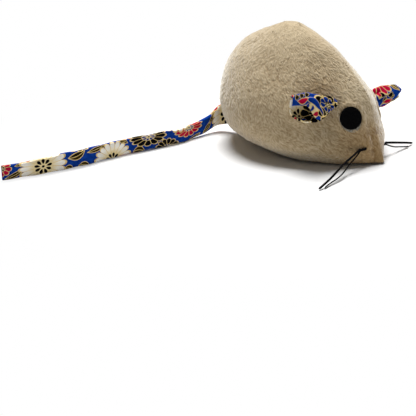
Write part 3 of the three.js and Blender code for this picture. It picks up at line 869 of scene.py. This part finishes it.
def tail_piece(name, first, last):
    """A length of the folded strip, from first to last along its route, and the line of its middle."""
    distances = np.linspace(first, last, int(round((last - first) / TAIL_STEP)) + 1)
    before, after = TAIL_LEAD
    softened = smooth_route(np.concatenate([
        [tail_start + (TAIL_TUCK, 0, 0), tail_start + (before, 0, 0)],
        at_distances(tail_route, np.linspace(after, tail_length, TAIL_SAMPLES))]))
    shift = lengths_along(softened)[-1] - tail_length
    middle = at_distances(softened, distances + shift)
    tangent = unit(np.gradient(middle, axis=0))
    sideways = unit(np.cross(tangent, UP))
    across, offset, flat = tail_ring()
    flare = 1 - smooth_step(0, TAIL_FLARE, distances)
    width = TAIL_NARROW + (TAIL_WIDTH - TAIL_NARROW) * np.clip(distances / tail_length, 0, 1)
    width = width + (TAIL_ROOT_WIDTH - width) * flare
    width = width - TAIL_END_LOSS * smooth_step(tail_length - TAIL_END, tail_length, distances)
    flutter = sum(height * np.sin(distances / pitch + start) for height, pitch, start in FLUTTER)
    flutter = flutter * smooth_step(*FLUTTER_START, distances)
    pleat = ROOT_PLEATS[0] * flare[:, None] * np.sin(across * ROOT_PLEATS[1])
    edge_wave = EDGE_WAVES[0] * np.sin(distances[:, None] / EDGE_WAVES[1] + 2 * across)
    middle[:, 2] -= (TAIL_WIDTH - width) / 2 * smooth_step(TAIL_FLARE, 3 * TAIL_FLARE, distances)
    lift = across * (width / 2)[:, None] + edge_wave * np.abs(across)
    out = offset + pleat + flutter[:, None]
    grid = middle[:, None] + sideways[:, None] * out[..., None] + UP * lift[..., None]
    rows, columns = grid.shape[:2]
    cloth = np.zeros(grid.shape)
    cloth[..., 0] = distances[:, None]
    cloth[..., 1] = flat
    points = [grid.reshape(-1, 3)]
    places = [cloth.reshape(-1, 3)]
    faces = grid_faces(rows, columns, closed=True)
    for row, end in ((0, -1), (rows - 1, 1)):
        inner = grid[row] + (middle[row] + UP * lift[row][:, None] - grid[row]) * END_INWARD
        start = sum(map(len, points))
        points.append(inner - tangent[row] * end * END_DEPTH)
        places.append(cloth[row])
        rim = np.arange(columns) + row * columns
        for column in range(columns):
            beside = (column + 1) % columns
            faces.append((rim[column], rim[beside], start + beside, start + column)[::end])
        faces.append(list(range(start, start + columns))[::end])
    return make_object(name, np.concatenate(points), faces, cloth=np.concatenate(places)), middle


root_piece, _ = tail_piece("tail_root_cloth", 1 - TAIL_TUCK, TAIL_ROOT_END)
strip_piece, strip_line = tail_piece("tail_strip_cloth", TAIL_ROOT_END, tail_length)
mount(root_piece, tail_cotton, ["tail_tuck", "tail_root"])
mount(strip_piece, tail_cotton, ["tail_strip"])
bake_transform(root_piece)
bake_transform(strip_piece)


# Whiskers

def whisker_pieces(name, side):
    """Two loose threads, and the stitch from which they leave the muzzle."""
    height, front_behind, rear_behind = KNOT_SEATS[side]
    front, front_out = seat_at(height, front_behind, side)
    rear, rear_out = seat_at(height, rear_behind, side)
    lift = KNOT_DIAMETER / 2 + CLEARANCE
    front_end, rear_end = front + front_out * lift, rear + rear_out * lift
    outward = unit(rear_end - front_end)
    start = rear_end + outward * CLEARANCE
    share = np.linspace(0, 1, WHISKER_STEPS)
    for strand, (forward, outside, rise, arch, waves) in WHISKER_TIPS[side].items():
        begin = start + UP * rise
        end = np.array([start[0] + forward, start[1] + side * outside, WHISKER_DIAMETER / 2 + CLEARANCE])
        across = unit(np.cross(end - begin, UP))
        wave = WHISKER_WAVE * np.sin(share * waves * math.pi) * np.sin(math.pi * share)
        route = begin + (end - begin) * share[:, None] + across * wave[:, None]
        route[:, 2] += arch * np.sin(math.pi * share ** ARCH_LEAN)
        piece = tube_object(
            f"{name}_whisker_{strand}_thread", route, WHISKER_DIAMETER * STRAND_SHARES[strand],
            twist=1.8, ply=0.12, taper=1.2)
        mount(piece, black_thread, [f"{name}_whisker_{strand}"], f"{name}_whiskers")
    stitch = [
        start + outward * 0.3, rear_end - rear_out * 0.3, (front_end + rear_end) / 2 - front_out * 0.6,
        front + front_out * 0.1, front - front_out * 0.8 - outward,
    ]
    knot = tube_object(
        f"{name}_whisker_stitch", smooth_route(stitch, 10), KNOT_DIAMETER * KNOT_SHARE,
        twist=2.4, ply=0.25, taper=3.0)
    mount(knot, black_thread, [f"{name}_whisker_knot"], "body")


for name, side in SIDES.items():
    whisker_pieces(name, side)


# Plush cover

def spread_levels():
    """Shares of the height that lie evenly along the side of the body."""
    fine = np.linspace(BASE_SEAM_HEIGHT / BODY_HEIGHT, 1, LEVEL_SAMPLES)
    lengths = lengths_along(body_point(0.5, fine, RIGHT, COVER_INSET))
    return np.interp(np.linspace(0, lengths[-1], PANEL_LEVELS + 1), lengths, fine)


def panel_grid(side):
    rows = []
    fine = (1 - np.cos(np.linspace(0, math.pi, STATION_SAMPLES))) / 2
    for share in spread_levels():
        lengths = lengths_along(body_point(fine, share, side, COVER_INSET))
        even = np.linspace(0, lengths[-1], PANEL_STATIONS + 1)
        rows.append(body_point(np.interp(even, lengths, fine), share, side, COVER_INSET))
    return np.array(rows)


def base_grid(right, left):
    """The flat panel between the lower edges of the sides."""
    part = np.linspace(0, 1, BASE_ROWS + 1)[:, None, None]
    grid = right[0] + (left[0] - right[0]) * part
    inward = np.abs(right[0, :, 1]) - np.abs(grid[..., 1])
    grid[..., 2] = BASE_LIFT + (right[0, :, 2] - BASE_LIFT) * bell(inward, BASE_EDGE)
    return grid


def swollen(points, faces, held):
    """Blows the cover up from inside with its seams held, and returns the moved points."""
    cover = make_object("cover", points, faces)
    group = cover.vertex_groups.new(name="seams")
    group.add([int(i) for i in held], 1.0, "REPLACE")
    cloth = cover.modifiers.new("cloth", "CLOTH")
    cloth.settings.vertex_group_mass = "seams"
    cloth.settings.use_pressure = True
    cloth.settings.uniform_pressure_force = SWELL_PRESSURE
    cloth.settings.effector_weights.gravity = 0
    cloth.point_cache.frame_end = SWELL_FRAMES
    for step in range(1, SWELL_FRAMES + 1):
        scene.frame_set(step)
    shaped = cover.evaluated_get(bpy.context.evaluated_depsgraph_get()).to_mesh()
    moved = np.empty(3 * len(points), np.float32)
    shaped.vertices.foreach_get("co", moved)
    scene.frame_set(1)
    bpy.data.objects.remove(cover)
    change = moved.reshape(-1, 3) / MM - points
    return points + unit(change) * np.minimum(sizes(change), SWELL_LIMIT)[:, None]


def swollen_grids(grids):
    """The grids sewn together where they meet, and blown up with their borders held."""
    loose = np.concatenate([grid.reshape(-1, 3) for grid in grids])
    _, first, where = np.unique(np.round(loose, 4), axis=0, return_index=True, return_inverse=True)
    where = where.ravel()
    faces = []
    borders = []
    ends = np.cumsum([grid[..., 0].size for grid in grids])
    for number, (grid, end) in enumerate(zip(grids, ends)):
        rows, columns = grid.shape[:2]
        start = end - rows * columns
        for face in grid_faces(rows, columns, start):
            corners = list(dict.fromkeys(int(where[i]) for i in face))
            if len(corners) > 2:
                faces.append(corners if number else corners[::-1])
        index = where[start:end].reshape(rows, columns)
        borders += [index[0], index[-1], index[:, 0], index[:, -1]]
    moved = swollen(loose[first], faces, np.unique(np.concatenate(borders)))[where]
    return [part.reshape(grid.shape) for part, grid in zip(np.split(moved, ends[:-1]), grids)]


def finer(grid):
    """A grid with REFINE steps for each step, on a smooth surface through the given points."""
    for axis in (0, 1):
        count = grid.shape[axis]
        where = np.linspace(0, count - 1, (count - 1) * REFINE + 1)
        low = np.clip(where.astype(int), 0, count - 2)
        t = (where - low).reshape([-1 if a == axis else 1 for a in range(3)])
        slope = np.gradient(grid, axis=axis)
        grid = bridge(t, *(np.take(values, low + step, axis) for values in (grid, slope) for step in (0, 1)))
    return grid


def cover_grids():
    right, left = panel_grid(RIGHT), panel_grid(LEFT)
    grids = [right, left, base_grid(right, left)]
    grids = swollen_grids(grids)
    return [finer(grid) for grid in grids]


def sampled(values, row, column):
    """Values of a grid at places between its points."""
    row = np.clip(row, 0, values.shape[0] - 1.001)
    column = np.clip(column, 0, values.shape[1] - 1.001)
    r, c = row.astype(int), column.astype(int)
    a, b = row - r, column - c
    low = values[r, c] * (1 - b) + values[r, c + 1] * b
    high = values[r + 1, c] * (1 - b) + values[r + 1, c + 1] * b
    return low * (1 - a) + high * a


def combed(grid, seed):
    """Strands of the pile: scattered numbers, smoothed along the slowly turning direction of the nap."""
    loose = np.random.default_rng(seed).normal(size=grid.shape[:2])
    drift = NAP_DRIFT * noise_over(grid, NAP_DRIFT_GRAIN, seed + 1)
    lean = NAP_LEAN + drift + NAP_STRAY * noise_over(grid, NAP_STRAY_GRAIN, seed + 2)
    moves = []
    for axis, way in enumerate((np.sin(lean), np.cos(lean))):
        move = way * STRAND_STEP / np.maximum(sizes(np.gradient(grid, axis=axis)), SMALLEST_STEP)
        moves.append(np.clip(move, -LONGEST_MOVE, LONGEST_MOVE))
    total = loose.copy()
    for way in (-1, 1):
        place = np.indices(loose.shape).astype(float)
        for _ in range(STRAND_STEPS):
            place = place + [way * sampled(move, *place) for move in moves]
            total += sampled(loose, *place)
    return total / total.std()


def cover_piece(name, grid, side, node):
    """One plush panel. The pile's relief moves its points; its shade, with painted light and painted shade
    added, is stored on them.
    """
    normal = grid_normals(grid)
    outward = np.sign(np.sum(normal * (grid - BODY_MIDDLE), axis=-1).mean())
    x, y, z = np.moveaxis(grid, -1, 0)
    strands = combed(grid, PILE_SEED)
    tufts = noise_over(grid, TUFT_GRAIN, PILE_SEED + 2)
    patches = noise_over(grid, PATCH_GRAIN, PILE_SEED + 3)
    along = np.cumsum(sizes(np.gradient(grid, axis=1)), axis=1)
    worn = smooth_step(0, 0.5, noise_over(grid, RIB_GRAIN, PILE_SEED + 4))
    forms = (strands, tufts, patches, np.sin(along * FULL_TURN / WALE) * worn)
    # painted light: the pile is made paler towards the top, where the lamp falls
    painted_top_light = smooth_step(*PAINTED_LIGHT_HEIGHTS, z)
    face = smooth_step(*FOREHEAD, x)
    pile = sum(share * form for share, form in zip(PILE_SHADE, forms))
    pile = pile + (PALE_STRANDS * painted_top_light + FACE_STRANDS * face) * strands + PAINTED_LIGHT_GAIN * painted_top_light
    raised = sum(share * form for share, form in zip(PILE_RELIEF, forms))
    # painted shade: the plush darkens towards the nose on the lower muzzle
    pressed = smooth_step(*MUZZLE_PAINTED_SHADE, x) * (1 - smooth_step(*MUZZLE_TOP, z))

    def around(seat, width):
        return bell(sizes(grid - seat_at(*seat, side)[0]), width)

    if side:
        nose = smooth_step(*NOSE_START, x)
        from_seam = y + SEAM_WANDER * nose
        open_seam = 1 - (SEAM_CLOSED + SEAM_CLOSED_NOSE * nose) * smooth_step(*SEAM_CLOSES, z)
        raised = raised - SEAM_DEPTH * open_seam * bell(from_seam, SEAM_WIDTH)
        # painted shade in the groove of the open seam
        pile = pile - SEAM_PAINTED_SHADE * open_seam * bell(from_seam, SEAM_WIDTH / 2)
        # painted highlight along the seam over the forehead and nose, which also takes away part of the
        # painted shade
        forehead = face * smooth_step(*FOREHEAD_FOOT, z) * bell(from_seam, FOREHEAD_WIDTH)
        pile = pile + FOREHEAD_PAINTED_HIGHLIGHT * forehead
        pressed = pressed * (1 - FOREHEAD_LIFT * forehead)
        rise, behind, width, depth = EAR_HOLLOW
        hollow = around(np.add(EAR_SEATS[side], (rise, behind)), width)
        raised = raised - depth * hollow
        # painted shade in the ear's hollow
        pressed = np.maximum(pressed, HOLLOW_PAINTED_SHADE * hollow)
        for seat, (width, depth) in zip(PULL_SEATS[side], PULL_SIZES):
            raised = raised - depth * around(seat, width)
        place, out = seat_at(EYE_HEIGHT, EYE_BEHIND_NOSE[side], side)
        height = (grid - place) @ out
        beside = sizes(grid - place - height[..., None] * out)
        near = np.abs(height) < POCKET_REACH
        raised = raised + EYE_RIMS[side] * bell(beside - EYE_RIM_RADIUS, EYE_RIM_WIDTH) * near
        pocket = (1 - smooth_step(*POCKET_EDGE, beside)) * near
        raised = raised + (EYE_POCKET - height - raised) * pocket
    shaped = grid + outward * normal * raised[..., None]
    shaped[..., 2] = np.maximum(shaped[..., 2], COVER_LIFT)
    faces = [quad[::-1] if outward > 0 else quad for quad in grid_faces(*grid.shape[:2])]
    shade = np.clip(0.5 + 0.5 * pile, 0, 1)
    piece = make_object(name, shaped.reshape(-1, 3), faces, pile=shade.ravel(), pressed=pressed.ravel())
    mount(piece, plush, [node], "body")


right_grid, left_grid, flat_grid = cover_grids()
cover_piece("right_side_plush", right_grid, RIGHT, "right_side_panel")
cover_piece("left_side_plush", left_grid, LEFT, "left_side_panel")
cover_piece("base_plush", flat_grid, 0, "base_panel")


# Eyes

def turned_object(name, profile, segments, place, out, wobble, drop=0.0, bead=0.0, seed=1):
    """A turned form about out at place. wobble makes its outline uneven. drop lets it run down to a bead."""
    side = unit(np.cross(UP, out))
    top = np.cross(out, side)
    angle = np.linspace(0, FULL_TURN, segments, endpoint=False)
    spokes = np.cos(angle)[:, None] * side + np.sin(angle)[:, None] * top
    uneven = 1 + wobble * soft_noise(spokes * 2.2 + 5, seed)
    low = np.clip(-np.sin(angle), 0, 1) ** 1.5
    widest = max(radius for radius, _ in profile)
    rings = []
    for radius, height in profile[1:-1]:
        reach = radius * uneven + drop * low * (radius / widest)
        stand = height + bead * low * (radius / widest) ** 3
        rings.append(place + spokes * reach[:, None] + stand[:, None] * out)
    ends = (place + out * height for _, height in (profile[0], profile[-1]))
    return make_object(name, *ringed_form(np.array(rings), *ends))


for name, side in SIDES.items():
    place, out = seat_at(EYE_HEIGHT, EYE_BEHIND_NOSE[side], side)
    eye = turned_object(f"{name}_eye_disc", EYE_PROFILE, EYE_SEGMENTS, place, out, wobble=0.008)
    mount(eye, eye_black, [f"{name}_eye"], "body")
    blob = turned_object(
        f"{name}_eye_glue_blob", GLUE_PROFILE, GLUE_SEGMENTS, place, out,
        wobble=0.06, drop=1.5, bead=1.3, seed=3)
    mount(blob, glue, [f"{name}_eye_glue"], "body")


# Ears

def ear_frame(side):
    """An ear's root, the ways along it, up its back and out of its front, its stitch and the way out."""
    place, out = seat_at(*EAR_SEATS[side], side)
    sweep, tilt = (math.radians(EARS[side][key]) for key in ("sweep", "tilt"))
    level = math.cos(tilt)
    reach = np.array([-math.sin(sweep) * level, side * math.cos(sweep) * level, math.sin(tilt)])
    axis = unit(side * np.cross(out, reach))
    forward = unit(out - reach * (out @ reach))
    gap = THREAD_DIAMETER / 2 + CLEARANCE
    stitch = place + out * gap
    return stitch + reach * gap, reach, axis, forward, stitch, out


def ear_piece(name, side):
    """A leaf of cloth with its upper part folded forwards and down over its front."""
    shape = EARS[side]
    root, reach, axis, forward, _, _ = ear_frame(side)
    half_at, flap_at, fold_at = (
        curve_over(shape["stations"], shape[key]) for key in ("halves", "flaps", "folds"))
    pleat_middle, pleat_width, pleat_waves = EAR_PLEATS
    cloth_along, cloth_across = shape["cloth"]
    grid = []
    cloth = []
    for share in np.linspace(0, 1, EAR_ROWS):
        half = float(half_at(share))
        fold = float(fold_at(share))
        depth = max(0.5, float(flap_at(share)) * 2 * half)
        up = np.linspace(-half, half, EAR_WALL)
        bowed = (up / half) ** 2 * np.where(up < 0, 1, UPPER_CUP) * smooth_step(0, 0.25, share)
        hollow = smooth_step(0.1, 0.4, share) * (1 - share ** 4)
        cup = shape["cup"] * bowed - shape["hollow"] * hollow
        back = np.stack([up, cup], axis=1)
        turn = np.linspace(0, math.pi, EAR_BEND + 2)[1:-1]
        crest = np.stack([half + fold * np.sin(turn), cup[-1] + fold * (1 - np.cos(turn))], axis=1)
        down = np.linspace(0, depth, EAR_FLAP)
        part = down / (2 * half)
        ridge = shape["ridge"][0] - shape["ridge"][1] * part
        roll = bell(share - ridge, ROLL_WIDTH) - ROLL_DIP * smooth_step(0.02, 0.14, ridge - share)
        hem = HEM_DEPTH * smooth_step(depth - HEM_WIDTH, depth, down)
        out = 2 * fold * (1 - 0.3 * part ** 2) + shape["belly"] * np.sin(math.pi * np.clip(part, 0, 1)) - hem
        out = out + shape["roll"] * roll * smooth_step(0, 1.5, down) * smooth_step(0, 0.2, share)
        front = np.stack([half - down, cup[-1] + out], axis=1)
        line = np.concatenate([back, crest, front])
        flat = lengths_along(line)
        across = np.clip(line[:, 0] / half, -1, 1)
        rounded = across ** 2 * np.where(across > 0, UPPER_ROUND, 1)
        tip = shape["round"] * smooth_step(0.5, 1, share) * rounded
        pleat = shape["pleat"] * bell(share - pleat_middle, pleat_width) * np.sin(across * pleat_waves)
        along = shape["length"] * share - tip
        lift = line[:, 0] + shape["rise"] * (1 - smooth_step(0, 0.4, share))
        stand = line[:, 1] + pleat + shape["lift"] * share ** 2
        grid.append(root + along[:, None] * reach + lift[:, None] * axis + stand[:, None] * forward)
        cloth.append(np.stack([cloth_along + along, cloth_across + flat - flat[EAR_WALL], 0 * flat], axis=1))
    grid, cloth = np.array(grid), np.array(cloth)
    creases = sum(height * noise_over(grid, grain, seed) for height, grain, seed in EAR_CREASES)
    grid = grid + grid_normals(grid) * creases[..., None]
    piece = sheet_object(f"{name}_ear_cloth", grid, EAR_THICKNESS, cloth)
    mount(piece, ear_cotton, [f"{name}_ear"], f"{name}_ear")


def ear_tack(name, side):
    """The stitch that holds an ear, with its ends in the plush."""
    _, _, axis, _, stitch, out = ear_frame(side)
    route = [
        stitch + axis * share * TACK_LENGTH - out * (TACK_DIP * (2 * share) ** 4)
        for share in TACK_SHARES
    ]
    tack = tube_object(f"{name}_ear_tack", smooth_route(route, 8), THREAD_DIAMETER, twist=1.6, ply=0.25)
    mount(tack, pale_thread, [f"{name}_ear_stitch"], "body")


for make_part in (ear_piece, ear_tack):
    for name, side in SIDES.items():
        make_part(name, side)


# Pieces inside the cover

for name, material in (
    ("back_seam_thread", pale_thread), ("base_seam_thread", pale_thread), ("tail_stitch", pale_thread),
    ("whisker_core_thread", black_thread), ("fibre_stuffing", fibre), ("catnip_filling", leaf_fill),
):
    dress(nodes[name], material)


# Floor and light

def floor_inputs(make):
    return {
        "Base Color": make.mix(make.noise(40), colour(234, 234, 234), colour(238, 238, 238)),
        "Roughness": 0.9,
    }


def add_floor():
    corners = [(x * FLOOR_REACH, y * FLOOR_REACH, 0) for x, y in ((-1, -1), (1, -1), (1, 1), (-1, 1))]
    floor = make_object("floor", corners, [(0, 1, 2, 3)])
    material = new_material("floor", floor_inputs)
    tree = material.node_tree
    make = Nodes(tree)
    distance = make.add("ShaderNodeVectorMath", {0: make.object_place()}, operation="LENGTH")["Value"]
    share = make.times(make.seen(), make.ramp(distance, FLOOR_FADE[0] * MM, FLOOR_FADE[1] * MM))
    lit, white = tree.nodes["Principled BSDF"].outputs[0], make.add("ShaderNodeEmission")[0]
    surface = make.add("ShaderNodeMixShader", enumerate((share, lit, white)))[0]
    make.fill(tree.nodes["Material Output"], {"Surface": surface})
    dress(floor, material)


def add_world():
    world = bpy.data.worlds.new("world")
    world.use_nodes = True
    make = Nodes(world.node_tree)
    strength = make.scaled(make.seen(), 1 - AMBIENT, AMBIENT)
    make.fill(world.node_tree.nodes["Background"], {"Color": WHITE, "Strength": strength})
    scene.world = world


def add_lamp():
    lamp = bpy.data.lights.new("top_light", "AREA")
    lamp.shape = "DISK"
    lamp.size = LAMP_SIZE * MM
    lamp.energy = LAMP_WATTS
    place = Vector(LAMP_PLACE) * MM
    facing = (Vector(LAMP_AIM) * MM - place).to_track_quat("-Z", "Y").to_matrix().to_4x4()
    link_object("top_light", lamp, Matrix.Translation(place) @ facing)


add_floor()
add_world()
add_lamp()
scene.view_settings.view_transform = "Standard"
